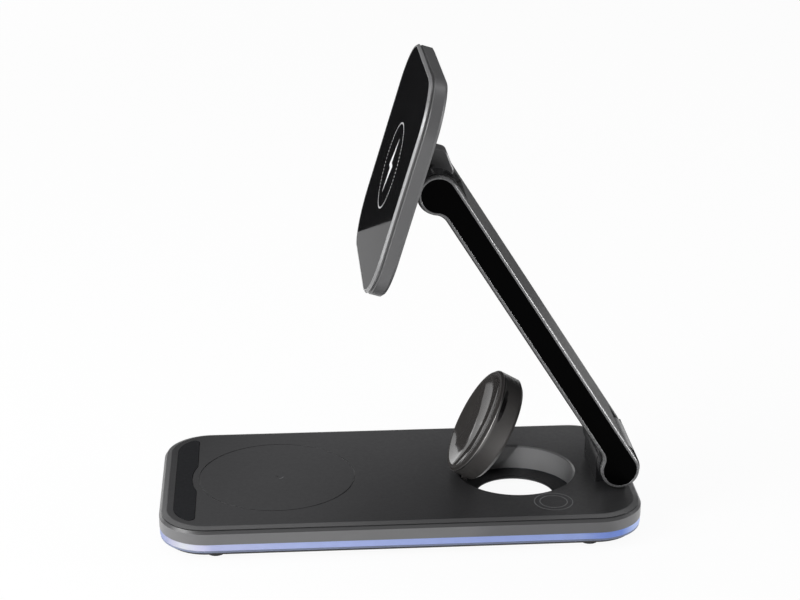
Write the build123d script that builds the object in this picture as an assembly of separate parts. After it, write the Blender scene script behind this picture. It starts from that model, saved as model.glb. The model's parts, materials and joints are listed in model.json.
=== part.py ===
from build123d import *
import os
from math import cos, radians, sin, sqrt

# Three in one wireless charger: a flat base with an earbud spot and a watch disc that
# flips up out of a round well, and a folding arm that carries a square phone pad.
# Frame: origin on the table under the middle of the whole length, +X towards the arm's
# hinge, +Y across the base, +Z up. Millimetres. Sizes are laid out from the base's own
# centre and the pieces are moved to the frame's origin at the end.

# Base, outline and heights
base_length = 150.0
base_width = 72.5
base_corner_r = 15.2
foot_height = 1.0
floor_thickness = 1.4
lip_height = 0.7
light_height = 2.1
band_height = 3.5
band_bevel_height = 0.8
band_bevel_inset = 0.75
cover_bevel_height = 1.0
cover_bevel_inset = 1.8
cover_thickness = 1.5
seam_height = 0.35
seam_depth = 0.4

# Base, walls and fits
frame_wall = 2.2
lip_inset = 0.25
lip_wall = 2.9
floor_inset = 2.0
floor_step = 0.9
light_inset = 0.12
light_wall = 1.6
seat_gap = 0.15
press_gap = 0.02
running_gap = 0.05

# Feet and the screws above them
foot_r = 3.0
foot_recess = 0.4
foot_x_inset = 17.5
foot_y_inset = 5.6
foot_edge = 0.4
screw_head_r = 1.8
screw_head_height = 0.8
screw_shank_r = 1.0
screw_length = 6.0
post_r = 2.3
seat_boss_height = 0.8

# Earbud spot with its grip strip
earbud_end_gap = 36.7
earbud_ring_r = 24.8
groove_width = 0.35
groove_depth = 0.25
grip_inset = 4.6
grip_edge_x = 11.2
grip_notch_margin = 2.3
grip_thickness = 0.7
grip_recess = 0.6
grip_corner_r = 1.6

# Watch disc and its well
watch_end_gap = 36.7
disc_r = 17.65
disc_floor_gap = 0.3
disc_top_gap = 0.05
well_gap = 1.05
well_wall = 1.3
well_floor_recess = 0.3
well_edge = 0.4
finger_hole_r = 12.6
finger_hole_edge = 0.4
watch_open_angle = 60.6
watch_hinge_reach = 4.45
watch_hinge_drop = 2.7
watch_barrel_r = 1.35
watch_neck_width = 8.0
watch_neck_thickness = 1.6
watch_neck_drop = 4.0
watch_pocket_gap = 0.35
watch_pocket_wall = 1.5
watch_pin_r = 0.6
disc_wall = 1.5
disc_back_thickness = 1.2
disc_back_edge = 1.1
disc_front_edge = 0.8
watch_rim = 1.25
watch_face_thickness = 3.3
dish_lip = 0.4
dish_depth = 2.5
watch_slot_length = 11.5
watch_slot_width = 1.3
watch_slot_depth = 0.5
watch_slot_from_face = 2.0
watch_slot_angle = 45.3

# Arm and its two hinges
hinge_overhang = 0.5
knuckle_gap = 0.3
knuckle_r = 6.5
arm_length = 107.65
arm_angle = 57.56
arm_width = 35.6
beam_underside = 2.4
beam_fillet = 4.5
rim_step = 0.45
rim_thickness = 2.0
rim_band = 0.8
rim_edge = 0.3
inlay_recess = 0.15
cover_plate_thickness = 1.3
cover_plate_start = 0.6
cover_plate_end = 1.0
hinge_slot_depth = 8.0
hinge_side_gap = 0.6
lower_barrel_width = 22.0
pin_r = 1.75
pin_end_wall = 0.6
washer_r = 4.6
washer_thickness = 0.5
cable_groove_width = 9.0
cable_groove_depth = 1.0
cable_width = 7.0
cable_thickness = 0.3
cable_end_margin = 14.0

# Phone pad
pad_length = 68.0
pad_width = 71.3
pad_corner_r = 15.6
pad_thickness = 5.6
pad_lean = 16.8
pad_standoff = 13.85
pad_rise = 0.75
pad_wall = 1.5
pad_floor = 1.2
pad_back_edge = 0.8
pad_front_edge = 0.5
bezel_height = 1.15
bezel_edge = 0.6
bezel_seam_height = 0.4
bezel_seam_depth = 0.5
bezel_lip = 1.05
bezel_ledge = 1.2
glass_thickness = 0.9
glass_recess = 0.05

# Bracket between pad and arm
bracket_barrel_width = 19.0
bracket_barrel_r = 4.6
bracket_side_gap = 0.5
bracket_foot_width = 11.0
bracket_foot_thickness = 4.2
bracket_top = 10.3
bracket_bottom = 7.0
bracket_neck_width = 7.0
bracket_neck_bottom = 4.8
bracket_neck_gusset = 2.2
bracket_shoulder = 0.6
bracket_hump_u = 4.4
bracket_hump_w = 5.2
bracket_shoulder_r = 2.0
bracket_hump_r = 1.5
bracket_edge = 0.4
bracket_screw_x = 5.5
upper_washer_thickness = 0.4

# Charging coils, ferrite sheets, magnets and boards
coil_thickness = 1.0
ferrite_thickness = 0.5
earbud_coil_r = 21.0
earbud_coil_hole_r = 8.0
earbud_ferrite_size = 45.0
pad_coil_r = 21.5
pad_coil_hole_r = 10.0
magnet_inner_r = 23.0
magnet_outer_r = 28.0
magnet_count = 16
magnet_gap_angle = 3.0
magnet_thickness = 1.1
watch_coil_r = 13.0
watch_coil_hole_r = 5.5
watch_magnet_r = 5.0
watch_board_r = 14.5
board_thickness = 1.0
thin_board_thickness = 0.8
main_board_length = 20.0
main_board_width = 54.0
main_board_gap = 4.0
main_board_lift = 1.6
board_post_r = 1.6
board_post_inset = 2.6
chip_size = 6.0
chip_height = 1.1
chip_pitch = 13.0
capacitor_r = 2.2
capacitor_height = 2.2
touch_r = 5.5
touch_thickness = 0.2
touch_along = 8.3
touch_edge_gap = 11.35

# Light strip behind the diffuser
led_clearance = 0.1
led_depth = 0.8
led_width = 2.6
led_height = 1.3
led_strip_thickness = 0.4
led_strip_height = 1.9
led_long_count = 6
led_end_count = 2
led_end_gap = 15.0

# Power inlet in the hinge end of the base
inlet_width = 8.94
inlet_height = 3.26
inlet_wall = 0.3
inlet_depth = 7.4
inlet_gap = 0.15
inlet_z = 5.9
inlet_recess = 0.3
inlet_tongue_width = 6.7
inlet_tongue_thickness = 0.7
inlet_tongue_length = 4.6
inlet_back_wall = 0.8
inlet_board_length = 11.0
inlet_board_width = 12.4

# Levels of the base, from the table up
z_under = foot_height
z_floor = z_under + floor_thickness
z_lip = z_floor + lip_height
z_light = z_lip + light_height
z_band = z_light + band_height
z_seam = z_band + band_bevel_height
z_top = z_seam + cover_bevel_height
z_ceiling = z_top - cover_thickness
z_well = z_floor - well_floor_recess

# Places worked out from the sizes above
foot_spots = [
    (sx * (base_length / 2 - foot_x_inset), sy * (base_width / 2 - foot_y_inset))
    for sx in (-1, 1)
    for sy in (-1, 1)
]
earbud_x = -base_length / 2 + earbud_end_gap
watch_x = base_length / 2 - watch_end_gap
touch_x = watch_x + touch_along
touch_y = -base_width / 2 + touch_edge_gap
well_r = disc_r + well_gap
watch_face_r = disc_r - watch_rim
dish_r = watch_face_r - dish_lip
disc_thickness = z_top - z_well - disc_floor_gap - disc_top_gap
watch_hinge_x = watch_x - disc_r - watch_hinge_reach
watch_hinge_z = z_top - disc_top_gap - watch_hinge_drop
pocket_half_width = watch_neck_width / 2 + watch_pocket_gap
pocket_left = watch_hinge_x - watch_barrel_r - watch_pocket_gap - watch_pocket_wall
main_board_x = pocket_left - main_board_gap - main_board_length / 2
pivot_x = base_length / 2 + hinge_overhang - knuckle_r
pivot_z = z_top + knuckle_gap + knuckle_r
spine_half_width = arm_width / 2 - rim_thickness
lower_slot_half = lower_barrel_width / 2 + hinge_side_gap
upper_slot_half = bracket_barrel_width / 2 + bracket_side_gap
pin_half_length = spine_half_width - pin_end_wall

# The arm's own plane: x runs up the arm from the lower pivot, y points away from its
# back, and z runs along the hinge axes.
arm_direction = Vector(-cos(radians(arm_angle)), 0, sin(radians(arm_angle)))
arm_plane = Plane(origin=(pivot_x, 0, pivot_z), x_dir=arm_direction, z_dir=(0, 1, 0))
upper_pivot = Vector(pivot_x, 0, pivot_z) + arm_direction * arm_length

# The pad's plane: z is its face's normal and x runs up the face, from the face's centre.
pad_up = Vector(sin(radians(pad_lean)), 0, cos(radians(pad_lean)))
pad_normal = Vector(-cos(radians(pad_lean)), 0, sin(radians(pad_lean)))
pad_centre = upper_pivot + pad_normal * pad_standoff + pad_up * pad_rise
pad_plane = Plane(origin=pad_centre, x_dir=pad_up, z_dir=pad_normal)

# The watch disc's plane: z is its face's normal and x points away from its hinge.
disc_along = Vector(cos(radians(watch_open_angle)), 0, sin(radians(watch_open_angle)))
disc_normal = Vector(-sin(radians(watch_open_angle)), 0, cos(radians(watch_open_angle)))
disc_reach = disc_r + watch_hinge_reach
disc_centre = (
    Vector(watch_hinge_x, 0, watch_hinge_z)
    + disc_along * disc_reach
    + disc_normal * watch_hinge_drop
)
disc_plane = Plane(origin=disc_centre, x_dir=disc_along, z_dir=disc_normal)


def outline(inset):
    """The base's rounded outline, moved inwards."""
    return RectangleRounded(base_length - 2 * inset, base_width - 2 * inset, base_corner_r - inset)


def slab(inset, low, high):
    """A plate of the base's outline between two heights."""
    return extrude(Pos(0, 0, low) * outline(inset), high - low)


def bevelled(low_inset, low, high_inset, high):
    """A plate of the base's outline whose edge slopes from one inset to another."""
    return loft([Pos(0, 0, low) * outline(low_inset), Pos(0, 0, high) * outline(high_inset)], ruled=True)


def post(x, y, radius, low, high):
    """An upright round solid."""
    return extrude(Pos(x, y, low) * Circle(radius), high - low)


def tube(x, y, outer, inner, low, high):
    """An upright ring."""
    return extrude(Pos(x, y, low) * (Circle(outer) - Circle(inner)), high - low)


def bar(plane, radius, half_length):
    """A round bar centred on a plane, along its normal."""
    return plane * extrude(Circle(radius), half_length, both=True)


def hinge_plane(x, z):
    """A plane square to a hinge axis, which runs along Y."""
    return Plane(origin=(x, 0, z), x_dir=(1, 0, 0), z_dir=(0, 1, 0))


def screw(x, y, head_low):
    """A flat headed screw whose shank points up, with a cross recess in its head."""
    head = post(x, y, screw_head_r, head_low, head_low + screw_head_height)
    shank = post(x, y, screw_shank_r, head_low, head_low + screw_length)
    recess_depth = screw_head_height / 2
    recess = Pos(x, y, head_low + recess_depth / 2) * (
        Box(screw_head_r, screw_head_r / 4, recess_depth)
        + Box(screw_head_r / 4, screw_head_r, recess_depth)
    )
    return head + shank - recess


def inlet_outline(grow):
    """The inlet's stadium section, in a plane square to X."""
    height = inlet_height + 2 * grow
    return SlotOverall(inlet_width + 2 * grow, height)


def inlet_cut():
    """The opening for the inlet through the end wall."""
    plane = Plane(origin=(base_length / 2 + 1, 0, inlet_z), x_dir=(0, 1, 0), z_dir=(-1, 0, 0))
    return plane * extrude(inlet_outline(inlet_gap), frame_wall + light_wall + 1)


def make_bottom_cover():
    floor = bevelled(floor_inset, z_under, floor_inset - floor_step, z_floor)
    lip = slab(lip_inset, z_floor, z_lip) - slab(lip_inset + lip_wall, z_floor, z_lip)
    body = floor + lip
    for x, y in foot_spots:
        body += post(x, y, post_r, z_floor, z_floor + seat_boss_height)
    for x, y in main_board_posts():
        body += post(x, y, board_post_r, z_floor, z_floor + main_board_lift)
    for x, y in inlet_board_posts():
        body += post(x, y, board_post_r, z_floor, inlet_board_low())
    for x, y in foot_spots:
        recess_top = z_under + foot_recess
        body -= post(x, y, foot_r + seat_gap, z_under, recess_top)
        body -= post(x, y, screw_head_r + seat_gap, recess_top, recess_top + screw_head_height)
        body -= post(x, y, screw_shank_r + seat_gap, recess_top, z_floor + seat_boss_height)
    body -= post(watch_x, 0, well_r, z_well, z_floor)
    body -= post(watch_x, 0, finger_hole_r, z_under, z_well)
    rims = [
        edge
        for edge in body.edges().filter_by(GeomType.CIRCLE)
        if abs(edge.radius - finger_hole_r) < 1e-6
    ]
    return chamfer(rims, finger_hole_edge)


def make_feet():
    feet = []
    for x, y in foot_spots:
        foot = post(x, y, foot_r, 0, z_under + foot_recess)
        feet.append(fillet(foot.edges().group_by(Axis.Z)[0], foot_edge))
    return feet


def make_base_screws():
    return [screw(x, y, z_under + foot_recess) for x, y in foot_spots]


def make_light_ring():
    ring = slab(light_inset, z_lip, z_light) - slab(light_inset + light_wall, z_lip, z_light)
    return ring - inlet_cut()


def make_frame():
    body = slab(0, z_light, z_band) + bevelled(0, z_band, band_bevel_inset, z_seam)
    body -= slab(frame_wall, z_light, z_seam)
    return body - inlet_cut()


def grip_shape(margin):
    """The grip strip's outline: the base's rounded end, cut straight and notched round."""
    end_x = -base_length / 2 + grip_edge_x
    keep = Pos(end_x - base_length / 2, 0) * Rectangle(base_length, base_width)
    notch = Pos(earbud_x, 0) * Circle(earbud_ring_r + grip_notch_margin)
    shape = outline(grip_inset) & keep
    shape = shape - notch
    shape = fillet(shape.vertices().group_by(Axis.X)[-1], grip_corner_r)
    return offset(shape, margin) if margin else shape


def make_grip_strip():
    low = z_top - grip_recess
    return extrude(Pos(0, 0, low) * grip_shape(0), grip_thickness)


def make_top_cover():
    edge_inset = band_bevel_inset
    lower = slab(edge_inset + seam_depth, z_seam, z_seam + seam_height)
    upper = bevelled(edge_inset, z_seam + seam_height, edge_inset + cover_bevel_inset, z_top)
    spigot = slab(frame_wall + seat_gap, z_ceiling, z_seam)
    body = lower + upper + spigot
    for x, y in foot_spots:
        body += post(x, y, post_r, z_floor + seat_boss_height, z_ceiling)
    body += post(watch_x, 0, well_r + well_wall, z_floor, z_ceiling)
    body += watch_pocket_block()
    body -= post(watch_x, 0, well_r, z_floor, z_top)
    body -= well_rim_cut()
    body -= watch_pocket_room()
    body -= bar(hinge_plane(watch_hinge_x, watch_hinge_z), watch_pin_r + press_gap, watch_pin_half())
    for x, y in foot_spots:
        pilot_top = z_under + foot_recess + screw_length + seat_gap
        body -= post(x, y, screw_shank_r + press_gap, z_floor, pilot_top)
    for x, y in hinge_screw_spots():
        body -= post(x, y, screw_shank_r + seat_gap, z_ceiling, z_top)
    groove_low = z_top - groove_depth
    body -= tube(
        earbud_x, 0, earbud_ring_r + groove_width / 2, earbud_ring_r - groove_width / 2, groove_low, z_top
    )
    recess_low = z_top - grip_recess
    return body - extrude(Pos(0, 0, recess_low) * grip_shape(seat_gap), grip_recess)


def well_rim_cut():
    """The slope round the well's upper edge."""
    low = Pos(watch_x, 0, z_top - well_edge) * Circle(well_r)
    high = Pos(watch_x, 0, z_top) * Circle(well_r + well_edge)
    return loft([low, high], ruled=True)


def watch_pin_half():
    return pocket_half_width + watch_pocket_wall


def watch_pocket_block():
    """Walls round the watch hinge, joined to the well's wall."""
    length = watch_x - pocket_left
    height = z_ceiling - z_floor
    return Pos(pocket_left + length / 2, 0, z_floor + height / 2) * Box(length, 2 * watch_pin_half(), height)


def watch_pocket_room():
    """The room under the top that the watch hinge's barrel and neck swing in, open to the well."""
    left = watch_hinge_x - watch_barrel_r - watch_pocket_gap
    high = watch_hinge_z + watch_barrel_r + watch_pocket_gap
    length = watch_x - left
    height = high - z_floor
    return Pos(left + length / 2, 0, z_floor + height / 2) * Box(length, 2 * pocket_half_width, height)


def make_watch_pin():
    return bar(hinge_plane(watch_hinge_x, watch_hinge_z), watch_pin_r, watch_pin_half())


def hinge_screw_spots():
    return [(pivot_x - knuckle_r / 2, y) for y in (-lower_barrel_width / 4, lower_barrel_width / 4)]


def make_hinge_block():
    """The fixed knuckle of the arm's lower hinge with its foot on the base."""
    plane = hinge_plane(pivot_x, pivot_z)
    right = base_length / 2 - band_bevel_inset - cover_bevel_inset - seat_gap
    left = pivot_x - knuckle_r
    neck = Pos((left + right) / 2, 0, (z_top + pivot_z) / 2) * Box(
        right - left, lower_barrel_width, pivot_z - z_top
    )
    body = bar(plane, knuckle_r, lower_barrel_width / 2) + neck
    body -= bar(plane, pin_r + press_gap, lower_barrel_width)
    for x, y in hinge_screw_spots():
        body -= post(x, y, screw_shank_r + press_gap, z_top, hinge_screw_top() + seat_gap)
    return body


def hinge_screw_top():
    return z_ceiling - screw_head_height + screw_length


def make_hinge_screws():
    return [screw(x, y, z_ceiling - screw_head_height) for x, y in hinge_screw_spots()]


def make_arm_pin():
    return bar(hinge_plane(pivot_x, pivot_z), pin_r, pin_half_length)


def washer_pair(x, z, half_gap_centre, thickness):
    """Two friction washers, one each side of a hinge's middle knuckle."""
    pair = []
    for side in (-1, 1):
        plane = Plane(origin=(x, side * half_gap_centre, z), x_dir=(1, 0, 0), z_dir=(0, 1, 0))
        pair.append(bar(plane, washer_r, thickness / 2) - bar(plane, pin_r + running_gap, thickness))
    return pair


def make_arm_washers():
    return washer_pair(pivot_x, pivot_z, lower_barrel_width / 2 + hinge_side_gap / 2, washer_thickness)


def dumbbell(step):
    """The arm's side outline, moved inwards by a step: a beam with a round knuckle at each end."""
    radius = knuckle_r - step
    underside = beam_underside - step
    beam = Pos(arm_length / 2, (radius - underside) / 2) * Rectangle(arm_length, radius + underside)
    shape = beam + Circle(radius) + Pos(arm_length, 0) * Circle(radius)
    inner = [
        corner
        for corner in shape.vertices()
        if corner.Y < 0 and radius / 2 < corner.X < arm_length - radius / 2
    ]
    return fillet(inner, beam_fillet)


def arm_prism(step, low, high):
    """A slice of the arm's outline between two places along the hinge axes."""
    return arm_plane * extrude(Pos(0, 0, low) * dumbbell(step), high - low)


def arm_box(along_low, along_high, back_low, back_high, half_width):
    """A box in the arm's plane, centred across the arm."""
    shape = Pos((along_low + along_high) / 2, (back_low + back_high) / 2) * Rectangle(
        along_high - along_low, back_high - back_low
    )
    return arm_plane * extrude(shape, half_width, both=True)


def upper_plane():
    return Plane(origin=upper_pivot, x_dir=arm_direction, z_dir=(0, 1, 0))


def cover_plate_back():
    return knuckle_r - rim_step


def cover_plate_seat():
    return cover_plate_back() - cover_plate_thickness


def fork_slots():
    """The open slots at the arm's two ends, for the fixed knuckle and for the pad's bracket."""
    reach = 2 * knuckle_r
    lower = arm_box(-reach, hinge_slot_depth, -reach, reach, lower_slot_half)
    upper = arm_box(arm_length - hinge_slot_depth, arm_length + reach, -reach, reach, upper_slot_half)
    return lower + upper


def make_arm_spine():
    body = arm_prism(0, -spine_half_width, spine_half_width)
    body -= arm_box(
        -cover_plate_start, arm_length - cover_plate_end, cover_plate_seat(), knuckle_r, spine_half_width
    )
    body -= fork_slots()
    groove_floor = cover_plate_seat() - cable_groove_depth
    body -= arm_box(
        cable_end_margin,
        arm_length - cable_end_margin,
        groove_floor,
        cover_plate_seat(),
        cable_groove_width / 2,
    )
    body -= bar(hinge_plane(pivot_x, pivot_z), pin_r + running_gap, pin_half_length + seat_gap)
    return body - bar(upper_plane(), pin_r + press_gap, pin_half_length)


def make_arm_back_cover():
    plate = arm_box(
        -cover_plate_start,
        arm_length - cover_plate_end,
        cover_plate_seat(),
        cover_plate_back(),
        spine_half_width - press_gap,
    )
    return plate - fork_slots()


def make_arm_cable():
    low = cover_plate_seat() - cable_groove_depth
    return arm_box(
        cable_end_margin + seat_gap,
        arm_length - cable_end_margin - seat_gap,
        low,
        low + cable_thickness,
        cable_width / 2,
    )


def make_arm_rim(side):
    """The metal edge round one side of the arm."""
    near, far = sorted((side * spine_half_width, side * arm_width / 2))
    ring = arm_prism(rim_step, near, far)
    face = ring.faces().sort_by(Axis.Y)[-1 if side > 0 else 0]
    ring = chamfer(face.outer_wire().edges(), rim_edge)
    return ring - arm_prism(rim_step + rim_band, near, far)


def make_arm_inlay(side):
    """The glossy panel inside one rim."""
    near, far = sorted((side * spine_half_width, side * (arm_width / 2 - inlay_recess)))
    return arm_prism(rim_step + rim_band + press_gap, near, far)


def make_pad_pin():
    return bar(upper_plane(), pin_r, pin_half_length)


def make_pad_washers():
    middle = bracket_barrel_width / 2 + bracket_side_gap / 2
    return washer_pair(upper_pivot.X, upper_pivot.Z, middle, upper_washer_thickness)


def pad_outline(inset):
    return RectangleRounded(pad_length - 2 * inset, pad_width - 2 * inset, pad_corner_r - inset)


def pad_slab(inset, low, high):
    return extrude(Pos(0, 0, low) * pad_outline(inset), high - low)


def pad_bevelled(low_inset, low, high_inset, high):
    sections = [Pos(0, 0, low) * pad_outline(low_inset), Pos(0, 0, high) * pad_outline(high_inset)]
    return loft(sections, ruled=True)


def pad_board_low():
    return -pad_thickness + pad_floor + board_thickness


def pad_board_spots():
    return [(sx * pad_length / 4, sy * pad_width / 4) for sx in (-1, 1) for sy in (-1, 1)]


def bracket_screw_spots():
    return [(bracket_screw_x, 0), (-bracket_screw_x, 0)]


def make_pad_shell():
    front = -bezel_height
    back = -pad_thickness
    body = pad_bevelled(pad_back_edge, back, 0, back + pad_back_edge)
    body += pad_slab(0, back + pad_back_edge, front - pad_front_edge)
    body += pad_bevelled(0, front - pad_front_edge, pad_front_edge, front)
    body -= pad_slab(pad_wall, back + pad_floor, front)
    for x, y in pad_board_spots():
        body += post(x, y, board_post_r, back + pad_floor, pad_board_low())
    for x, y in bracket_screw_spots():
        body -= post(x, y, screw_shank_r + seat_gap, back, back + pad_floor)
    return pad_plane * body


def make_pad_bezel():
    seat = -bezel_height + bezel_seam_height
    body = pad_slab(bezel_seam_depth, -bezel_height, seat)
    body += pad_slab(0, seat, -bezel_edge)
    body += pad_bevelled(0, -bezel_edge, bezel_edge, 0)
    glass_seat = -glass_thickness - glass_recess
    body -= pad_slab(bezel_lip, glass_seat, 0)
    return pad_plane * (body - pad_slab(bezel_lip + bezel_ledge, -bezel_height, 0))


def make_pad_glass():
    low = -glass_thickness - glass_recess
    return pad_plane * pad_slab(bezel_lip + press_gap, low, -glass_recess)


def glass_back():
    return -glass_thickness - glass_recess


def make_pad_coil():
    high = glass_back()
    return pad_plane * tube(0, 0, pad_coil_r, pad_coil_hole_r, high - coil_thickness, high)


def make_pad_ferrite():
    high = glass_back() - coil_thickness
    return pad_plane * post(0, 0, pad_coil_r + seat_gap, high - ferrite_thickness, high)


def make_pad_magnets():
    """Magnets set in a broken ring round the coil, each an arc of the ring."""
    high = glass_back()
    pitch = 360 / magnet_count
    arc = pitch - magnet_gap_angle
    middle = (magnet_inner_r + magnet_outer_r) / 2
    magnets = []
    for number in range(magnet_count):
        start = number * pitch + magnet_gap_angle / 2
        line = CenterArc((0, 0), middle, start, arc)
        ends = [line @ 0, line @ 1]
        scale_in = magnet_inner_r / middle
        scale_out = magnet_outer_r / middle
        loop = [
            CenterArc((0, 0), magnet_inner_r, start, arc),
            Line(ends[1] * scale_in, ends[1] * scale_out),
            CenterArc((0, 0), magnet_outer_r, start, arc),
            Line(ends[0] * scale_out, ends[0] * scale_in),
        ]
        sector = make_face(loop)
        magnets.append(pad_plane * extrude(Pos(0, 0, high - magnet_thickness) * sector, magnet_thickness))
    return magnets


def make_pad_board():
    low = pad_board_low()
    rim = 4 * board_post_r
    shape = RectangleRounded(pad_length / 2 + rim, pad_width / 2 + rim, board_post_r)
    board = extrude(Pos(0, 0, low) * shape, thin_board_thickness)
    return pad_plane * board


def bracket_plane():
    """The plane square to the upper hinge through its axis: x runs up the pad, y to its face."""
    return Plane(origin=upper_pivot, x_dir=pad_up, z_dir=(0, -1, 0))


def bracket_neck():
    """The neck between the bracket's foot and its barrel, with softened side edges."""
    back = pad_standoff - pad_thickness
    hump = (bracket_hump_u, -bracket_hump_w)
    shoulder = (bracket_top, -bracket_shoulder)
    corners = [
        (bracket_neck_bottom, back),
        (bracket_neck_bottom, bracket_neck_gusset),
        (0, bracket_barrel_r - bracket_edge),
        (0, 0),
        hump,
        shoulder,
        (bracket_top, back),
    ]
    side = make_face(Polyline(corners, close=True))
    side = fillet(side.vertices().sort_by_distance(shoulder)[0], bracket_shoulder_r)
    side = fillet(side.vertices().sort_by_distance(hump)[0], bracket_hump_r)
    neck = extrude(side, bracket_neck_width / 2, both=True)
    rounds = [
        edge
        for face in (neck.faces().sort_by(Axis.Z)[0], neck.faces().sort_by(Axis.Z)[-1])
        for edge in face.outer_wire().edges()
        if edge.center().Y < back - press_gap
    ]
    return chamfer(rounds, bracket_edge)


def make_pad_bracket():
    """The hinge bracket on the pad's back: a foot, a narrow neck and a barrel across it."""
    back = pad_standoff - pad_thickness
    foot_length = bracket_top + bracket_bottom
    foot = Pos((bracket_top - bracket_bottom) / 2, back - bracket_foot_thickness / 2) * Box(
        foot_length, bracket_foot_thickness, bracket_foot_width
    )
    front = foot.faces().sort_by(Axis.Y)[0]
    foot = chamfer(front.outer_wire().edges(), bracket_edge)
    barrel = extrude(Circle(bracket_barrel_r), bracket_barrel_width / 2, both=True)
    body = bracket_plane() * (foot + bracket_neck() + barrel)
    body -= bar(upper_plane(), pin_r + running_gap, bracket_barrel_width)
    for x, y in bracket_screw_spots():
        pilot = post(x, y, screw_shank_r + press_gap, bracket_screw_tip() - seat_gap, -pad_thickness)
        body -= pad_plane * pilot
    return body


def bracket_screw_tip():
    return -pad_thickness + pad_floor + screw_head_height - screw_length


def make_bracket_screws():
    """Screws from inside the pad's shell into the bracket's foot."""
    flip = Plane(origin=pad_centre, x_dir=pad_up, z_dir=pad_normal * -1)
    head = pad_thickness - pad_floor - screw_head_height
    return [flip * screw(x, -y, head) for x, y in bracket_screw_spots()]


def link(start, end, width):
    """A flat link with round ends between two points."""
    middle = (start + end) / 2
    reach = end - start
    turn = Vector(1, 0, 0).get_signed_angle(reach, Vector(0, 0, 1))
    return Pos(middle.X, middle.Y) * Rot(0, 0, turn) * SlotCenterToCenter(reach.length, width)


def watch_neck_shape():
    """The bent neck from the hinge pin, under the well's edge, to the disc's wall."""
    bend = Vector(watch_barrel_r / 2, -watch_neck_drop / 2)
    low = Vector(watch_hinge_reach / 2 + watch_neck_thickness / 4, -watch_neck_drop)
    end = Vector(watch_hinge_reach + disc_wall / 2, -watch_neck_drop + watch_neck_thickness / 2)
    pin = Vector(0, 0)
    path = [pin, bend, low, end]
    shape = link(path[0], path[1], watch_neck_thickness)
    for start, finish in zip(path[1:], path[2:]):
        shape += link(start, finish, watch_neck_thickness)
    return shape


def make_watch_shell():
    """The disc's cup with its bent hinge neck and a fingernail slot in its wall."""
    back = -disc_thickness + disc_back_thickness
    cup = extrude(Pos(0, 0, back) * Circle(disc_r), -back)
    cup = chamfer(cup.edges().group_by(Axis.Z)[-1], disc_front_edge)
    barrel = Plane(origin=(-disc_reach, 0, -watch_hinge_drop), x_dir=(1, 0, 0), z_dir=(0, -1, 0))
    neck = watch_neck_shape() + Circle(watch_barrel_r) - Circle(watch_pin_r + running_gap)
    cup += barrel * extrude(neck, watch_neck_width / 2, both=True)
    cup -= post(0, 0, disc_r - disc_wall, back, -watch_face_thickness)
    cup -= post(0, 0, watch_face_r + press_gap, -watch_face_thickness, 0)
    cup -= post(0, 0, disc_r, -disc_thickness, back)
    slot_plane = Plane.XY.rotated((0, 0, -90 + watch_slot_angle))
    slot = Pos(disc_r, 0, -watch_slot_from_face) * Box(
        2 * watch_slot_depth, watch_slot_length, watch_slot_width
    )
    return disc_plane * (cup - slot_plane * slot)


def make_watch_back():
    low = -disc_thickness
    cover = extrude(Pos(0, 0, low) * Circle(disc_r), disc_back_thickness)
    cover = chamfer(cover.edges().group_by(Axis.Z)[0], disc_back_edge)
    return disc_plane * cover


def dish_half_depth():
    """The dish's depth at half its radius, on a ball's surface."""
    ball_r = (dish_r**2 + dish_depth**2) / (2 * dish_depth)
    return sqrt(ball_r**2 - dish_r**2 / 4) - (ball_r - dish_depth)


def make_watch_face():
    """The dished face that cups the back of a watch."""
    low = -watch_face_thickness
    half = make_face(
        [
            Line((0, low), (watch_face_r, low)),
            Line((watch_face_r, low), (watch_face_r, 0)),
            Line((watch_face_r, 0), (dish_r, 0)),
            ThreePointArc((dish_r, 0), (dish_r / 2, -dish_half_depth()), (0, -dish_depth)),
            Line((0, -dish_depth), (0, low)),
        ]
    )
    return disc_plane * revolve(Plane.XZ * half, Axis.Z)


def make_watch_coil():
    high = -watch_face_thickness
    return disc_plane * tube(0, 0, watch_coil_r, watch_coil_hole_r, high - coil_thickness, high)


def make_watch_magnet():
    high = -watch_face_thickness
    return disc_plane * post(0, 0, watch_magnet_r, high - magnet_thickness - ferrite_thickness, high)


def make_watch_ferrite():
    high = -watch_face_thickness - coil_thickness
    return disc_plane * tube(
        0, 0, watch_coil_r + seat_gap, watch_magnet_r + seat_gap, high - ferrite_thickness, high
    )


def make_watch_board():
    low = -disc_thickness + disc_back_thickness
    return disc_plane * post(0, 0, watch_board_r, low, low + thin_board_thickness)


def make_earbud_coil():
    low = z_ceiling - coil_thickness
    return tube(earbud_x, 0, earbud_coil_r, earbud_coil_hole_r, low, z_ceiling)


def make_earbud_ferrite():
    high = z_ceiling - coil_thickness
    shape = Pos(earbud_x, 0, high - ferrite_thickness) * Rectangle(earbud_ferrite_size, earbud_ferrite_size)
    return extrude(shape, ferrite_thickness)


def main_board_posts():
    half_x = main_board_length / 2 - board_post_inset
    half_y = main_board_width / 2 - board_post_inset
    return [(main_board_x + sx * half_x, sy * half_y) for sx in (-1, 1) for sy in (-1, 1)]


def main_board_low():
    return z_floor + main_board_lift


def make_main_board():
    shape = Pos(main_board_x, 0, main_board_low()) * RectangleRounded(
        main_board_length, main_board_width, board_post_inset / 2
    )
    return extrude(shape, board_thickness)


def make_board_chips():
    low = main_board_low() + board_thickness
    return [
        Pos(main_board_x, row * chip_pitch, low + chip_height / 2) * Box(chip_size, chip_size, chip_height)
        for row in (-1, 0, 1)
    ]


def make_board_capacitors():
    low = main_board_low() + board_thickness
    return [
        post(main_board_x, row * chip_pitch, capacitor_r, low, low + capacitor_height)
        for row in (-0.5, 0.5)
    ]


def make_touch_sensor():
    return post(touch_x, touch_y, touch_r, z_ceiling - touch_thickness, z_ceiling)


def led_face_inset():
    return light_inset + light_wall + led_clearance + led_depth


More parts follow.
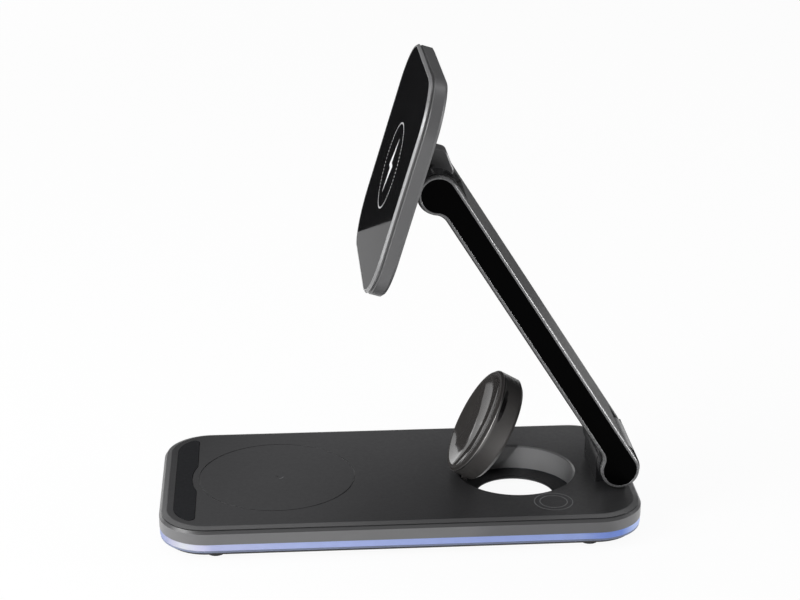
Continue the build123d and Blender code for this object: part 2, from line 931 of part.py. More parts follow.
def make_led_strip():
    inset = led_face_inset()
    high = z_lip + led_strip_height
    ring = slab(inset, z_lip, high) - slab(inset + led_strip_thickness, z_lip, high)
    gap = Pos(base_length / 2, 0, (z_lip + high) / 2) * Box(base_corner_r, led_end_gap, led_strip_height)
    return ring - gap


def make_leds():
    """Lamps spread along the straight stretches of the strip, facing outwards."""
    inset = led_face_inset()
    z_middle = z_lip + led_strip_height / 2
    lamps = []
    run = base_length - 2 * base_corner_r
    for number in range(led_long_count):
        x = -run / 2 + run * (number + 0.5) / led_long_count
        for side in (-1, 1):
            y = side * (base_width / 2 - inset + led_depth / 2)
            lamps.append(Pos(x, y, z_middle) * Box(led_width, led_depth, led_height))
    span = base_width - 2 * base_corner_r
    for number in range(led_end_count):
        y = -span / 2 + span * (number + 0.5) / led_end_count
        for side in (-1, 1):
            x = side * (base_length / 2 - inset + led_depth / 2)
            lamps.append(Pos(x, y, z_middle) * Box(led_depth, led_width, led_height))
    return lamps


def inlet_plane():
    return Plane(
        origin=(base_length / 2 - inlet_recess, 0, inlet_z), x_dir=(0, 1, 0), z_dir=(-1, 0, 0)
    )


def make_inlet_shell():
    outer = extrude(inlet_outline(0), inlet_depth)
    return inlet_plane() * (outer - extrude(inlet_outline(-inlet_wall), inlet_depth - inlet_back_wall))


def make_inlet_tongue():
    start = inlet_depth - inlet_back_wall - inlet_tongue_length
    shape = Pos(0, 0, start) * Rectangle(inlet_tongue_width, inlet_tongue_thickness)
    return inlet_plane() * extrude(shape, inlet_tongue_length)


def inlet_board_low():
    return inlet_z - inlet_height / 2 - thin_board_thickness


def inlet_board_centre():
    high = base_length / 2 - light_inset - light_wall - seat_gap
    return high - inlet_board_length / 2


def inlet_board_posts():
    x = inlet_board_centre() - inlet_board_length / 4
    return [(x, side * inlet_board_width / 4) for side in (-1, 1)]


def make_inlet_board():
    z_middle = inlet_board_low() + thin_board_thickness / 2
    return Pos(inlet_board_centre(), 0, z_middle) * Box(
        inlet_board_length, inlet_board_width, thin_board_thickness
    )


nodes = {
    "base_bottom_cover": make_bottom_cover(),
    "rubber_feet": make_feet(),
    "base_screws": make_base_screws(),
    "light_ring": make_light_ring(),
    "base_frame": make_frame(),
    "base_top_cover": make_top_cover(),
    "grip_strip": make_grip_strip(),
    "earbud_coil": make_earbud_coil(),
    "earbud_ferrite": make_earbud_ferrite(),
    "main_board": make_main_board(),
    "board_chips": make_board_chips(),
    "board_capacitors": make_board_capacitors(),
    "touch_sensor": make_touch_sensor(),
    "led_strip": make_led_strip(),
    "led_lamps": make_leds(),
    "power_inlet": make_inlet_shell(),
    "power_inlet_tongue": make_inlet_tongue(),
    "inlet_board": make_inlet_board(),
    "hinge_block": make_hinge_block(),
    "hinge_screws": make_hinge_screws(),
    "arm_hinge_pin": make_arm_pin(),
    "arm_washers": make_arm_washers(),
    "watch_hinge_pin": make_watch_pin(),
    "arm_spine": make_arm_spine(),
    "arm_back_cover": make_arm_back_cover(),
    "arm_cable": make_arm_cable(),
    "arm_rim_front": make_arm_rim(-1),
    "arm_rim_rear": make_arm_rim(1),
    "arm_inlay_front": make_arm_inlay(-1),
    "arm_inlay_rear": make_arm_inlay(1),
    "pad_hinge_pin": make_pad_pin(),
    "pad_washers": make_pad_washers(),
    "pad_shell": make_pad_shell(),
    "pad_bezel": make_pad_bezel(),
    "pad_glass": make_pad_glass(),
    "pad_coil": make_pad_coil(),
    "pad_ferrite": make_pad_ferrite(),
    "pad_magnets": make_pad_magnets(),
    "pad_board": make_pad_board(),
    "pad_bracket": make_pad_bracket(),
    "bracket_screws": make_bracket_screws(),
    "watch_shell": make_watch_shell(),
    "watch_back": make_watch_back(),
    "watch_face": make_watch_face(),
    "watch_coil": make_watch_coil(),
    "watch_magnet": make_watch_magnet(),
    "watch_ferrite": make_watch_ferrite(),
    "watch_board": make_watch_board(),
}

# The hinge's knuckle stands out past the base's end, so all pieces move back by half of
# that to put the origin under the middle of the whole length.
centred = Pos(-hinge_overhang / 2, 0, 0)
os.makedirs("parts", exist_ok=True)
for name, shape in nodes.items():
    pieces = shape if isinstance(shape, list) else [shape]
    moved = [centred * piece for piece in pieces]
    export_step(Compound(children=moved) if len(moved) > 1 else moved[0], f"parts/{name}.step")
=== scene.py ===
import bpy
import bmesh
import json
import math
from mathutils import Matrix, Vector


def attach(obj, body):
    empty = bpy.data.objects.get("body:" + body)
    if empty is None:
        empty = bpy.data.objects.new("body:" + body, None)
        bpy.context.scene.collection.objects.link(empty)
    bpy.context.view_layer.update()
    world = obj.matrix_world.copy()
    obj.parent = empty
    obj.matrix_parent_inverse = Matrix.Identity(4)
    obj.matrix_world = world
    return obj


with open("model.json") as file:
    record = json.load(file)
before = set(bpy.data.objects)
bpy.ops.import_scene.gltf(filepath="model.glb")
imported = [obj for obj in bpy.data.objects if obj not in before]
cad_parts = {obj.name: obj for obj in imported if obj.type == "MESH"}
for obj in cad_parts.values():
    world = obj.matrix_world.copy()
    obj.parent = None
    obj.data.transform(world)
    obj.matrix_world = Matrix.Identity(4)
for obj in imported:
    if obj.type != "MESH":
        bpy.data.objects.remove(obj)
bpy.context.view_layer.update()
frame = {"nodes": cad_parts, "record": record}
nodes = frame["nodes"]
MM = 0.001

# Places in the shared frame, in millimetres
EARBUD = (-38.55, 0.0)
TOUCH = (46.9, -24.4)
TOP_Z = 10.5
WELL_CENTRE = Vector((38.05, 0.0, 6.0))
PAD_CENTRE = Vector((-2.04, 0.0, 112.87))
DISH_CENTRE = Vector((24.45, 0.0, 28.33))
SLOT_CENTRE = Vector((32.35, -12.41, 38.28))
PAD_LEAN = math.radians(16.8)
DISC_TURN = math.radians(60.6)

# Soft borders of painted areas, from start to end, in millimetres:
# heights on the base, and distances from the middle of the well or the dish
LIP_HEIGHT = (2.36, 2.42)
SLOPE_HEIGHT = (8.64, 8.72)
EDGE_HEIGHT = (10.38, 10.46)
WELL_WALL = (19.05, 19.1)
DISH_BORDER = (15.85, 15.95)
RING_BORDER = (17.4, 17.5)
LINE_START = (17.5, 17.55)
LINE_END = (17.68, 17.72)

# The painted shadow of the slot in the disc's wall: half sizes in millimetres, and its
# border as a share of them
SLOT_SIZE = Vector((6.0, 6.0, 0.78))
SLOT_BORDER = (0.9, 1.05)

# Colours painted over a piece's own colour: painted shade, painted highlights, painted light
# and a painted shadow
SLOPE_PAINTED_SHADE = (0.085, 0.085, 0.086)
EDGE_PAINTED_HIGHLIGHT = (0.072, 0.072, 0.073)
WELL_PAINTED_LIGHT = (0.15, 0.15, 0.152)
LIP_PAINTED_GLOW = (0.20, 0.23, 0.33)
DISH_BLACK_AND_RING_PAINTED_SHADE = (0.032, 0.030, 0.029)
LINE_PAINTED_HIGHLIGHT = (0.22, 0.215, 0.21)
SLOT_PAINTED_SHADOW = (0.014, 0.013, 0.013)

# The light strip: its ends in millimetres, and colours along it from its left end; the pale
# colours near the left end and the brighter ones near the right end are painted highlights
# where the strip rounds the base's corners
STRIP_ENDS = (-75.0, 75.0)
STRIP_LEFT = (0.13, 0.17, 0.36)
STRIP_RIGHT = (0.30, 0.38, 0.66)
STRIP_STOPS_AND_HIGHLIGHTS = [
    (0.03, (0.39, 0.39, 0.49)),
    (0.05, (0.48, 0.50, 0.54)),
    (0.09, (0.48, 0.485, 0.66)),
    (0.11, (0.38, 0.41, 0.62)),
    (0.30, (0.32, 0.38, 0.64)),
    (0.60, (0.27, 0.335, 0.625)),
    (0.86, (0.25, 0.325, 0.61)),
    (0.90, (0.17, 0.245, 0.58)),
    (0.945, (0.13, 0.21, 0.55)),
    (0.972, (0.32, 0.41, 0.69)),
]
STRIP_GLOW = 0.35
STRIP_CLOUD = 0.2

# Bottom and top of the printed signs, from the pad's centre and from the base's top
PAD_PRINT = (-0.05, -0.02)
BASE_PRINT = (0.0, 0.02)


# Materials

class Material:
    """A principled material with short calls for the nodes that feed it."""

    def __init__(self, name, colour, rough, metal=0.0, specular=0.5):
        self.material = bpy.data.materials.new(name)
        self.material.use_nodes = True
        self.tree = self.material.node_tree
        self.shader = self.tree.nodes["Principled BSDF"]
        self.shader.inputs["Base Color"].default_value = (*colour, 1.0)
        self.shader.inputs["Roughness"].default_value = rough
        self.shader.inputs["Metallic"].default_value = metal
        self.shader.inputs["Specular IOR Level"].default_value = specular
        self.colour = colour
        self.place = self.add("ShaderNodeTexCoord").outputs["Object"]
        self.shade = None
        self.normal = None

    def add(self, kind, **settings):
        node = self.tree.nodes.new(kind)
        for key, value in settings.items():
            setattr(node, key, value)
        return node

    def link(self, out, socket):
        self.tree.links.new(out, socket)

    def feed(self, out, name):
        """Links an output to one of the shader's sockets."""
        self.link(out, self.shader.inputs[name])

    def noise(self, scale, detail=3.0, stretch=(1.0, 1.0, 1.0)):
        place = self.place
        if stretch != (1.0, 1.0, 1.0):
            mapping = self.add("ShaderNodeMapping")
            mapping.inputs["Scale"].default_value = stretch
            self.link(place, mapping.inputs["Vector"])
            place = mapping.outputs["Vector"]
        node = self.add("ShaderNodeTexNoise")
        node.inputs["Scale"].default_value = scale
        node.inputs["Detail"].default_value = detail
        self.link(place, node.inputs["Vector"])
        return node.outputs["Fac"]

    def axis(self, name):
        """One coordinate of the shared frame."""
        node = self.add("ShaderNodeSeparateXYZ")
        self.link(self.place, node.inputs["Vector"])
        return node.outputs[name]

    def reach(self, centre):
        """Distance from a point that is given in millimetres."""
        node = self.add("ShaderNodeVectorMath", operation="DISTANCE")
        node.inputs[1].default_value = centre * MM
        self.link(self.place, node.inputs[0])
        return node.outputs["Value"]

    def spread(self, fac, low, high, start=0.3, end=0.7):
        """From one number to another while a factor goes from start to end."""
        node = self.add("ShaderNodeMapRange")
        node.inputs["From Min"].default_value = start
        node.inputs["From Max"].default_value = end
        node.inputs["To Min"].default_value = low
        node.inputs["To Max"].default_value = high
        self.link(fac, node.inputs["Value"])
        return node.outputs["Result"]

    def step(self, length, low, high, border):
        """From one number to another across a border in millimetres."""
        start, end = border
        return self.spread(length, low, high, start * MM, end * MM)

    def times(self, first, second):
        node = self.add("ShaderNodeMath", operation="MULTIPLY")
        self.link(first, node.inputs[0])
        self.link(second, node.inputs[1])
        return node.outputs[0]

    def tint(self, fac, low, high):
        """Base colour between two shades of the material's own colour."""
        node = self.add("ShaderNodeMix", data_type="RGBA")
        node.inputs["A"].default_value = (*[c * low for c in self.colour], 1.0)
        node.inputs["B"].default_value = (*[c * high for c in self.colour], 1.0)
        self.link(fac, node.inputs["Factor"])
        self.shade = node.outputs["Result"]
        self.feed(self.shade, "Base Color")

    def over(self, fac, colour):
        """Another colour laid over the base colour where a factor is one."""
        node = self.add("ShaderNodeMix", data_type="RGBA")
        node.inputs["B"].default_value = (*colour, 1.0)
        self.link(self.shade, node.inputs["A"])
        self.link(fac, node.inputs["Factor"])
        self.shade = node.outputs["Result"]
        self.feed(self.shade, "Base Color")

    def rough(self, fac, low, high):
        self.feed(self.spread(fac, low, high), "Roughness")

    def bevel(self, radius):
        """Softens the shading of sharp edges over a small radius in millimetres."""
        node = self.add("ShaderNodeBevel", samples=6)
        node.inputs["Radius"].default_value = radius * MM
        self.normal = node.outputs["Normal"]
        self.feed(self.normal, "Normal")

    def bump(self, fac, height, strength=1.0):
        """Small heights in millimetres, on top of the softened edges."""
        node = self.add("ShaderNodeBump")
        node.inputs["Distance"].default_value = height * MM
        node.inputs["Strength"].default_value = strength
        self.link(fac, node.inputs["Height"])
        if self.normal is not None:
            self.link(self.normal, node.inputs["Normal"])
        self.normal = node.outputs["Normal"]
        self.feed(self.normal, "Normal")


def moulded(name, colour, rough, grain=2600.0, depth=0.012, specular=0.4,
            edge=0.15, metal=0.0):
    """Moulded plastic or painted metal: fine grain, faint shade changes, soft edges."""
    m = Material(name, colour, rough, metal, specular)
    m.bevel(edge)
    m.tint(m.noise(60.0), 0.92, 1.08)
    m.rough(m.noise(900.0), rough - 0.05, rough + 0.05)
    m.bump(m.noise(grain, 2.0), depth)
    return m


def band_with_painted_shade(name):
    """The base's band: satin grey, with painted shade darkening the slope along its upper
    edge.
    """
    m = moulded(name, (0.185, 0.185, 0.187), 0.34, depth=0.004, edge=0.12, metal=0.3)
    # Painted shade: the slope along the band's upper edge is painted darker than the band.
    m.over(m.step(m.axis("Z"), 0.0, 1.0, SLOPE_HEIGHT), SLOPE_PAINTED_SHADE)
    return m


def cover_plastic(name):
    """The base's top: dark and fine, painted paler as a highlight on its sloped edge and as
    light inside the watch well.
    """
    m = moulded(name, (0.026, 0.026, 0.027), 0.36, depth=0.004, specular=0.5, edge=0.1)
    # Painted highlight: the top's sloped edge, and every face below the top, are painted
    # paler.
    m.over(m.step(m.axis("Z"), 1.0, 0.0, EDGE_HEIGHT), EDGE_PAINTED_HIGHLIGHT)
    # Painted light: the inside wall of the watch well is painted paler still.
    m.over(m.step(m.reach(WELL_CENTRE), 1.0, 0.0, WELL_WALL), WELL_PAINTED_LIGHT)
    return m


def under_shell(name):
    """The base's floor: dark inside the well, with the light strip's glow painted blue grey
    on the lip under it.
    """
    m = moulded(name, (0.012, 0.012, 0.013), 0.5)
    # Painted glow of the light strip: the lip under it is painted blue grey.
    m.over(m.step(m.axis("Z"), 0.0, 1.0, LIP_HEIGHT), LIP_PAINTED_GLOW)
    return m


def polished(name, colour, rough, specular=0.5, edge=0.12):
    """Gloss plastic or glass: faint shade changes and a little uneven gloss."""
    m = Material(name, colour, rough, 0.0, specular)
    m.bevel(edge)
    m.tint(m.noise(40.0), 0.85, 1.15)
    m.rough(m.noise(120.0), rough * 0.7, rough * 1.3)
    return m


def dish_gloss(name):
    """The watch rest: a glossy dish inside a duller ring."""
    m = Material(name, DISH_BLACK_AND_RING_PAINTED_SHADE, 0.05, 0.0, 0.3)
    m.bevel(0.12)
    m.tint(m.noise(40.0), 0.85, 1.15)
    reach = m.reach(DISH_CENTRE)
    m.feed(m.step(reach, 0.05, 0.6, DISH_BORDER), "Roughness")
    m.feed(m.step(reach, 0.3, 0.02, DISH_BORDER), "Specular IOR Level")
    return m


def watch_case(name):
    """The watch disc's case: warm dark grey, with a dull ring of painted shade on its front
    slope, a thin polished line on its edge painted lighter as a highlight, and a painted
    shadow of the slot across that line."""
    m = moulded(name, (0.066, 0.063, 0.061), 0.38, depth=0.003, specular=0.35, edge=0.2)
    reach = m.reach(DISH_CENTRE)
    slot = m.add("ShaderNodeMapping", vector_type="TEXTURE")
    slot.inputs["Location"].default_value = SLOT_CENTRE * MM
    slot.inputs["Rotation"].default_value = (0.0, -DISC_TURN, 0.0)
    slot.inputs["Scale"].default_value = SLOT_SIZE * MM
    m.link(m.place, slot.inputs["Vector"])
    from_slot = m.add("ShaderNodeVectorMath", operation="LENGTH")
    m.link(slot.outputs["Vector"], from_slot.inputs[0])
    # Painted shadow of the slot: a dark streak a little longer than the cut slot.
    slot_shadow = m.spread(from_slot.outputs["Value"], 1.0, 0.0, *SLOT_BORDER)
    outside = m.spread(from_slot.outputs["Value"], 0.0, 1.0, *SLOT_BORDER)
    # Painted highlight: the thin line on the disc's edge is painted a lighter grey and is
    # also made metallic.
    line = m.times(m.step(reach, 0.0, 1.0, LINE_START), m.step(reach, 1.0, 0.0, LINE_END))
    polish_and_highlight = m.times(line, outside)
    # Painted shade: the front slope inside the ring border is painted as dark as the dish.
    m.over(m.step(reach, 1.0, 0.0, RING_BORDER), DISH_BLACK_AND_RING_PAINTED_SHADE)
    m.over(polish_and_highlight, LINE_PAINTED_HIGHLIGHT)
    m.over(slot_shadow, SLOT_PAINTED_SHADOW)
    m.feed(polish_and_highlight, "Metallic")
    m.feed(m.step(reach, 0.02, 0.3, RING_BORDER), "Specular IOR Level")
    return m


def metal(name, colour, rough, stretch, edge=0.1):
    """Bare metal with fine lines along one direction."""
    m = Material(name, colour, rough, 1.0)
    m.bevel(edge)
    lines = m.noise(700.0, 2.0, stretch)
    m.tint(lines, 0.85, 1.12)
    m.rough(lines, rough - 0.07, rough + 0.08)
    m.bump(lines, 0.004)
    return m


def light_strip(name):
    """Frosted strip: bluer towards the hinge, softly lit inside, with painted highlights at
    the corners: paler near the left end and brighter near the right end.
    """
    m = Material(name, (0.30, 0.42, 0.80), 0.35, 0.0, 0.4)
    m.bevel(0.2)
    ramp = m.add("ShaderNodeValToRGB")
    stops = ramp.color_ramp.elements
    stops[0].color = (*STRIP_LEFT, 1.0)
    stops[1].color = (*STRIP_RIGHT, 1.0)
    # The stops near both ends carry painted highlights where the strip rounds the corners.
    for place, colour in STRIP_STOPS_AND_HIGHLIGHTS:
        stops.new(place).color = (*colour, 1.0)
    m.link(m.step(m.axis("X"), 0.0, 1.0, STRIP_ENDS), ramp.inputs["Fac"])
    cloud = m.add("ShaderNodeMix", data_type="RGBA", blend_type="MULTIPLY")
    cloud.inputs["Factor"].default_value = STRIP_CLOUD
    m.link(ramp.outputs["Color"], cloud.inputs["A"])
    m.link(m.noise(260.0), cloud.inputs["B"])
    m.feed(cloud.outputs["Result"], "Base Color")
    m.feed(ramp.outputs["Color"], "Emission Color")
    m.shader.inputs["Emission Strength"].default_value = STRIP_GLOW
    return m


def grained(name, colour, rough):
    """The arm's back plate: a fine speckled grain."""
    m = Material(name, colour, rough, 0.0, 0.06)
    m.bevel(0.12)
    speck = m.noise(1700.0, 2.0, (1.0, 0.55, 1.0))
    m.tint(m.spread(speck, 0.0, 1.0, 0.36, 0.64), 0.68, 1.36)
    m.rough(m.noise(1400.0), rough - 0.06, rough + 0.08)
    m.bump(m.noise(1300.0, 2.0), 0.05, 0.6)
    return m


def wound(name, colour, rough):
    """Lacquered winding: fine uneven wire."""
    m = Material(name, colour, rough, 0.9)
    m.tint(m.noise(1500.0, 2.0), 0.6, 1.25)
    m.rough(m.noise(800.0), rough - 0.08, rough + 0.08)
    m.bump(m.noise(1500.0, 2.0), 0.05)
    return m


def board(name, colour):
    """Circuit board: solder mask with faint copper tracks under it."""
    m = Material(name, colour, 0.4, 0.0, 0.5)
    tracks = m.add("ShaderNodeTexVoronoi", feature="DISTANCE_TO_EDGE", distance="MANHATTAN")
    tracks.inputs["Scale"].default_value = 260.0
    m.link(m.place, tracks.inputs["Vector"])
    m.tint(m.spread(tracks.outputs["Distance"], 0.0, 1.0, 0.04, 0.09), 1.9, 1.0)
    m.rough(m.noise(600.0), 0.34, 0.48)
    m.bump(tracks.outputs["Distance"], 0.02, 0.4)
    return m


looks = {
    "top_plastic": cover_plastic("top_plastic"),
    "band": band_with_painted_shade("band"),
    "light": light_strip("light"),
    "floor_plastic": under_shell("floor_plastic"),
    "rubber": moulded("rubber", (0.03, 0.03, 0.032), 0.75,
                      grain=1500.0, depth=0.03, specular=0.25),
    "grip": moulded("grip", (0.008, 0.0085, 0.010), 0.62,
                    grain=1700.0, depth=0.03, specular=0.14),
    "steel": metal("steel", (0.55, 0.55, 0.55), 0.3, (1.0, 8.0, 1.0)),
    "washer": metal("washer", (0.62, 0.46, 0.24), 0.35, (1.0, 4.0, 1.0)),
    "copper": wound("copper", (0.72, 0.34, 0.17), 0.35),
    "ferrite": moulded("ferrite", (0.05, 0.05, 0.052), 0.7),
    "magnet": metal("magnet", (0.62, 0.62, 0.63), 0.2, (1.0, 1.0, 3.0)),
    "board": board("board", (0.02, 0.10, 0.05)),
    "chip": moulded("chip", (0.02, 0.02, 0.021), 0.55),
    "led_tape": moulded("led_tape", (0.66, 0.66, 0.64), 0.5),
    "lamp": polished("lamp", (0.82, 0.76, 0.5), 0.2),
    "cable": polished("cable", (0.25, 0.12, 0.03), 0.4),
    "black_core": polished("black_core", (0.012, 0.012, 0.013), 0.22),
    "arm_back": grained("arm_back", (0.085, 0.085, 0.085), 0.55),
    "rim": moulded("rim", (0.19, 0.19, 0.192), 0.28,
                   depth=0.003, edge=0.4, metal=0.5),
    "inlay": polished("inlay", (0.0008, 0.0008, 0.0009), 0.3, specular=0.02),
    "pad_grey": moulded("pad_grey", (0.135, 0.135, 0.137), 0.38,
                        depth=0.004, edge=0.1, metal=0.25),
    "pad_edge": moulded("pad_edge", (0.22, 0.22, 0.222), 0.32,
                        depth=0.003, edge=0.1, metal=0.3),
    "bracket": moulded("bracket", (0.125, 0.125, 0.127), 0.38,
                       depth=0.004, edge=0.25, metal=0.25),
    "pad_face": polished("pad_face", (0.006, 0.006, 0.0065), 0.04,
                         specular=0.08, edge=0.1),
    "watch_grey": watch_case("watch_grey"),
    "watch_gloss": dish_gloss("watch_gloss"),
}
for part in frame["record"]["subparts"]:
    piece = nodes[part["node"]]
    piece.data.materials.clear()
    piece.data.materials.append(looks[part["material_slot"]].material)


# Printed signs

def prisms(name, loops, place, heights, look, body):
    """Thin print made of flat outlines on a plane, in millimetres."""
    low, high = heights
    mesh = bpy.data.meshes.new(name)
    build = bmesh.new()
    for loop in loops:
        bottom = [build.verts.new(place @ Vector((x, y, low))) for x, y in loop]
        top = [build.verts.new(place @ Vector((x, y, high))) for x, y in loop]
        build.faces.new(top)
        build.faces.new(list(reversed(bottom)))
        count = len(loop)
        for i in range(count):
            j = (i + 1) % count
            build.faces.new((bottom[i], bottom[j], top[j], top[i]))
    build.to_mesh(mesh)
    build.free()
    piece = bpy.data.objects.new(name, mesh)
    bpy.context.scene.collection.objects.link(piece)
    mesh.materials.append(look.material)
    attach(piece, body)


def arc(radius, angles):
    return [(radius * math.cos(a), radius * math.sin(a)) for a in angles]


def arc_band(radius, width, start, end, steps):
    """One bent strip between two angles, in degrees."""
    angles = [math.radians(start + (end - start) * i / steps) for i in range(steps + 1)]
    return arc(radius + width / 2, angles) + arc(radius - width / 2, reversed(angles))


def dashes(radius, width, count, share):
    """A ring of short strips, each over its share of the pitch."""
    pitch = 360.0 / count
    return [
        arc_band(radius, width, i * pitch, i * pitch + pitch * share, 2)
        for i in range(count)
    ]


def scaled(matrix):
    """A placing matrix in millimetres, turned to metres."""
    return Matrix.Scale(MM, 4) @ matrix


ink = polished("print_ink", (0.62, 0.62, 0.63), 0.45)
faint_ink = polished("faint_ink", (0.13, 0.13, 0.135), 0.4)
dark_ink = polished("dark_ink", (0.006, 0.006, 0.006), 0.4)

pad_up = Vector((math.sin(PAD_LEAN), 0.0, math.cos(PAD_LEAN)))
pad_out = Vector((-math.cos(PAD_LEAN), 0.0, math.sin(PAD_LEAN)))
pad_turn = Matrix((pad_up.cross(pad_out), pad_up, pad_out)).transposed().to_4x4()
pad_place = scaled(Matrix.Translation(PAD_CENTRE) @ pad_turn)
ring = dashes(radius=13.25, width=0.5, count=70, share=0.5)
prisms("pad_ring_print", ring, pad_place, PAD_PRINT, ink, "pad")
bolt = [(1.2, 9.0), (-3.6, -0.9), (-0.4, -0.9), (-1.2, -9.0), (3.6, 0.9), (0.4, 0.9)]
prisms("pad_bolt_print", [bolt], pad_place, PAD_PRINT, ink, "pad")

touch_place = scaled(Matrix.Translation((*TOUCH, TOP_Z)))
touch_loops = [
    arc_band(radius, 0.28, start, start + 90.0, 16)
    for radius in (5.95, 4.25)
    for start in (0.0, 90.0, 180.0, 270.0)
]
prisms("touch_print", touch_loops, touch_place, BASE_PRINT, faint_ink, "base")

earbud_place = scaled(Matrix.Translation((*EARBUD, TOP_Z)))
dot = arc(0.4, [math.radians(a) for a in range(0, 360, 15)])
prisms("earbud_dot_print", [dot], earbud_place, BASE_PRINT, dark_ink, "base")
curve = arc_band(radius=2.0, width=0.3, start=285.0, end=345.0, steps=8)
prisms("earbud_curve_print", [curve], earbud_place, BASE_PRINT, faint_ink,
       "base")


# Stage: floor, cards, lamps, world and camera

def sheet_object(name, corners):
    """One flat sheet with its corners in metres."""
    mesh = bpy.data.meshes.new(name)
    mesh.from_pydata(corners, [], [tuple(range(len(corners)))])
    piece = bpy.data.objects.new(name, mesh)
    bpy.context.scene.collection.objects.link(piece)
    return piece


# The floor takes shadows, and shows as white to the view and in gloss and glass
FLOOR_COLOUR = (0.86, 0.86, 0.86, 1.0)
FLOOR_WHITE = 0.94
floor = sheet_object("floor", [(-4, -4, 0), (4, -4, 0), (4, 4, 0), (-4, 4, 0)])
floor_look = bpy.data.materials.new("stage_floor")
floor_look.use_nodes = True
tree = floor_look.node_tree
tree.nodes.clear()
result = tree.nodes.new("ShaderNodeOutputMaterial")
blend = tree.nodes.new("ShaderNodeMixShader")
paint = tree.nodes.new("ShaderNodeBsdfDiffuse")
paint.inputs["Color"].default_value = FLOOR_COLOUR
white = tree.nodes.new("ShaderNodeEmission")
path = tree.nodes.new("ShaderNodeLightPath")
seen = tree.nodes.new("ShaderNodeMath")
seen.operation = "MAXIMUM"
through = tree.nodes.new("ShaderNodeMath")
through.operation = "MAXIMUM"
share = tree.nodes.new("ShaderNodeMath")
share.operation = "MULTIPLY"
share.inputs[1].default_value = FLOOR_WHITE
tree.links.new(path.outputs["Is Camera Ray"], seen.inputs[0])
tree.links.new(path.outputs["Is Glossy Ray"], seen.inputs[1])
tree.links.new(seen.outputs[0], through.inputs[0])
tree.links.new(path.outputs["Is Transmission Ray"], through.inputs[1])
tree.links.new(through.outputs[0], share.inputs[0])
tree.links.new(share.outputs[0], blend.inputs["Fac"])
tree.links.new(paint.outputs[0], blend.inputs[1])
tree.links.new(white.outputs[0], blend.inputs[2])
tree.links.new(blend.outputs[0], result.inputs["Surface"])
floor.data.materials.append(floor_look)


def card_look(name, shade):
    """Dull paper of one shade."""
    look = bpy.data.materials.new(name)
    look.use_nodes = True
    shader = look.node_tree.nodes["Principled BSDF"]
    shader.inputs["Base Color"].default_value = (shade, shade, shade, 1.0)
    shader.inputs["Specular IOR Level"].default_value = 0.0
    return look


def card(name, corners, look):
    """A card that only shows in reflections, with its corners in millimetres."""
    piece = sheet_object(name, [Vector(corner) * MM for corner in corners])
    piece.data.materials.append(look)
    piece.visible_camera = False
    piece.visible_diffuse = False
    piece.visible_shadow = False


def upright(outline, y):
    """Corners across the depth, from an outline in x and z."""
    return [(x, y, z) for x, z in outline]


def lying(outline, z):
    """Corners just over the floor, from an outline in x and y."""
    return [(x, y, z) for x, y in outline]


black_paper = card_look("black_paper", 0.008)
grey_paper = card_look("grey_paper", 0.5)
pad_card = [(-20, 67), (-8, 60), (8, 56), (20, 46), (150, 46), (150, 260), (-171, 260)]
card("flag_pad", upright(pad_card, 80.0), black_paper)
left_card = [(-70, 258), (-72, 380), (-122, 452), (-112, 330), (-92, 258)]
card("grey_ground", lying(left_card, 0.4), grey_paper)
disc_card = [
    (40, 0), (40, 12), (-4, 9), (-9, 8.4), (-15.5, 9.4), (-20, 10.2), (-25, 10.7),
    (-36.6, 13), (-53, 17.3), (-63, 20.3), (-57.7, 24.3), (-46.4, 24.7), (-36.5, 22.9),
    (-24.9, 16.3), (-33.4, 24.8), (-54.5, 42.6), (-87.9, 62.2), (-130, 87), (-130, 0),
]
card("flag_disc", upright(disc_card, 115.0), black_paper)
ground_card = [(6, 38), (100, 38), (100, 115), (-9, 115), (6, 88)]
card("flag_ground", lying(ground_card, 0.5), black_paper)
front_card = [(20, -40), (75, -40), (66, -120)]
card("grey_front", lying(front_card, 0.5), grey_paper)


def aim(item, place, target):
    """Puts a lamp or camera at a place, turned to a target, in metres."""
    item.location = place
    direction = Vector(target) - Vector(place)
    item.rotation_euler = direction.to_track_quat("-Z", "Y").to_euler()
    bpy.context.scene.collection.objects.link(item)


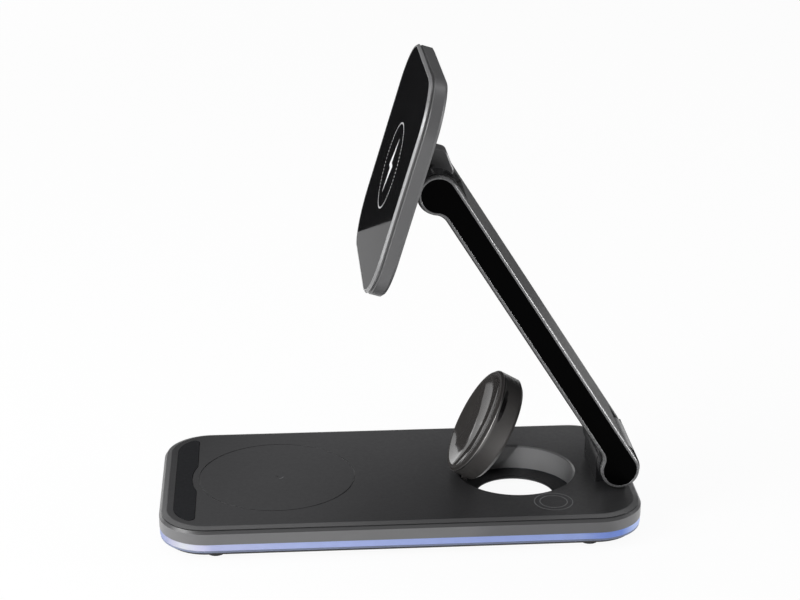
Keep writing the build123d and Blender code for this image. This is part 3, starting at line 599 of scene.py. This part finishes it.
def softbox(name, place, target, width, power, height=None):
    """A soft lamp in metres and watts, square where it has no height."""
    lamp = bpy.data.lights.new(name, "AREA")
    lamp.energy = power
    lamp.size = width
    if height is not None:
        lamp.shape = "RECTANGLE"
        lamp.size_y = height
    aim(bpy.data.objects.new(name, lamp), place, target)


def spotlight(name, place, target, angle, power):
    """A narrow lamp with a soft border, its angle in degrees."""
    lamp = bpy.data.lights.new(name, "SPOT")
    lamp.energy = power
    lamp.spot_size = math.radians(angle)
    lamp.spot_blend = 0.7
    lamp.shadow_soft_size = 0.005
    aim(bpy.data.objects.new(name, lamp), place, target)


spotlight("well_spot", (-0.11, -0.53, 0.228), (0.0505, 0.017, 0.0065), angle=2.7, power=12.0)
softbox("key_left", (-0.48, -0.15, 0.38), (0.0, 0.0, 0.02), 0.3, power=2.3)
softbox("front_fill", (-0.5, -0.48, 0.2), (0.0, 0.0, 0.05), 0.5, power=1.45, height=0.3)
softbox("edge_right", (1.1, 0.0, 0.24), (0.03, 0.0, 0.06), 0.3, power=5.0)
softbox("top_back", (0.0, 0.4, 0.92), (0.0, 0.0, 0.0), 1.3, power=2.0, height=0.3)
softbox("edge_left", (-1.1, -0.1, 0.16), (0.0, 0.0, 0.06), 0.4, power=2.0)
softbox("kicker_right", (0.35, 1.1, 0.1), (0.02, 0.0, 0.11), 0.25, power=0.3, height=0.12)
softbox("kicker_left", (-0.565, 0.87, 0.205), (0.02, 0.0, 0.03), 0.7, power=1.8, height=0.4)

world = bpy.data.worlds.new("studio")
bpy.context.scene.world = world
world.use_nodes = True
background = world.node_tree.nodes["Background"]
background.inputs["Color"].default_value = (0.9, 0.9, 0.92, 1.0)
background.inputs["Strength"].default_value = 0.35

EYE = Vector((-38.85, -563.6, 274.1)) * MM
EYE_TARGET = Vector((0.77, 0.0, 69.42)) * MM
camera_data = bpy.data.cameras.new("camera")
camera_data.sensor_width = 36.0
camera_data.sensor_fit = "HORIZONTAL"
camera_data.lens = 87.07
camera_data.clip_start = 0.01
camera = bpy.data.objects.new("camera", camera_data)
aim(camera, EYE, EYE_TARGET)
bpy.context.scene.camera = camera

bpy.context.scene.view_settings.view_transform = "Standard"
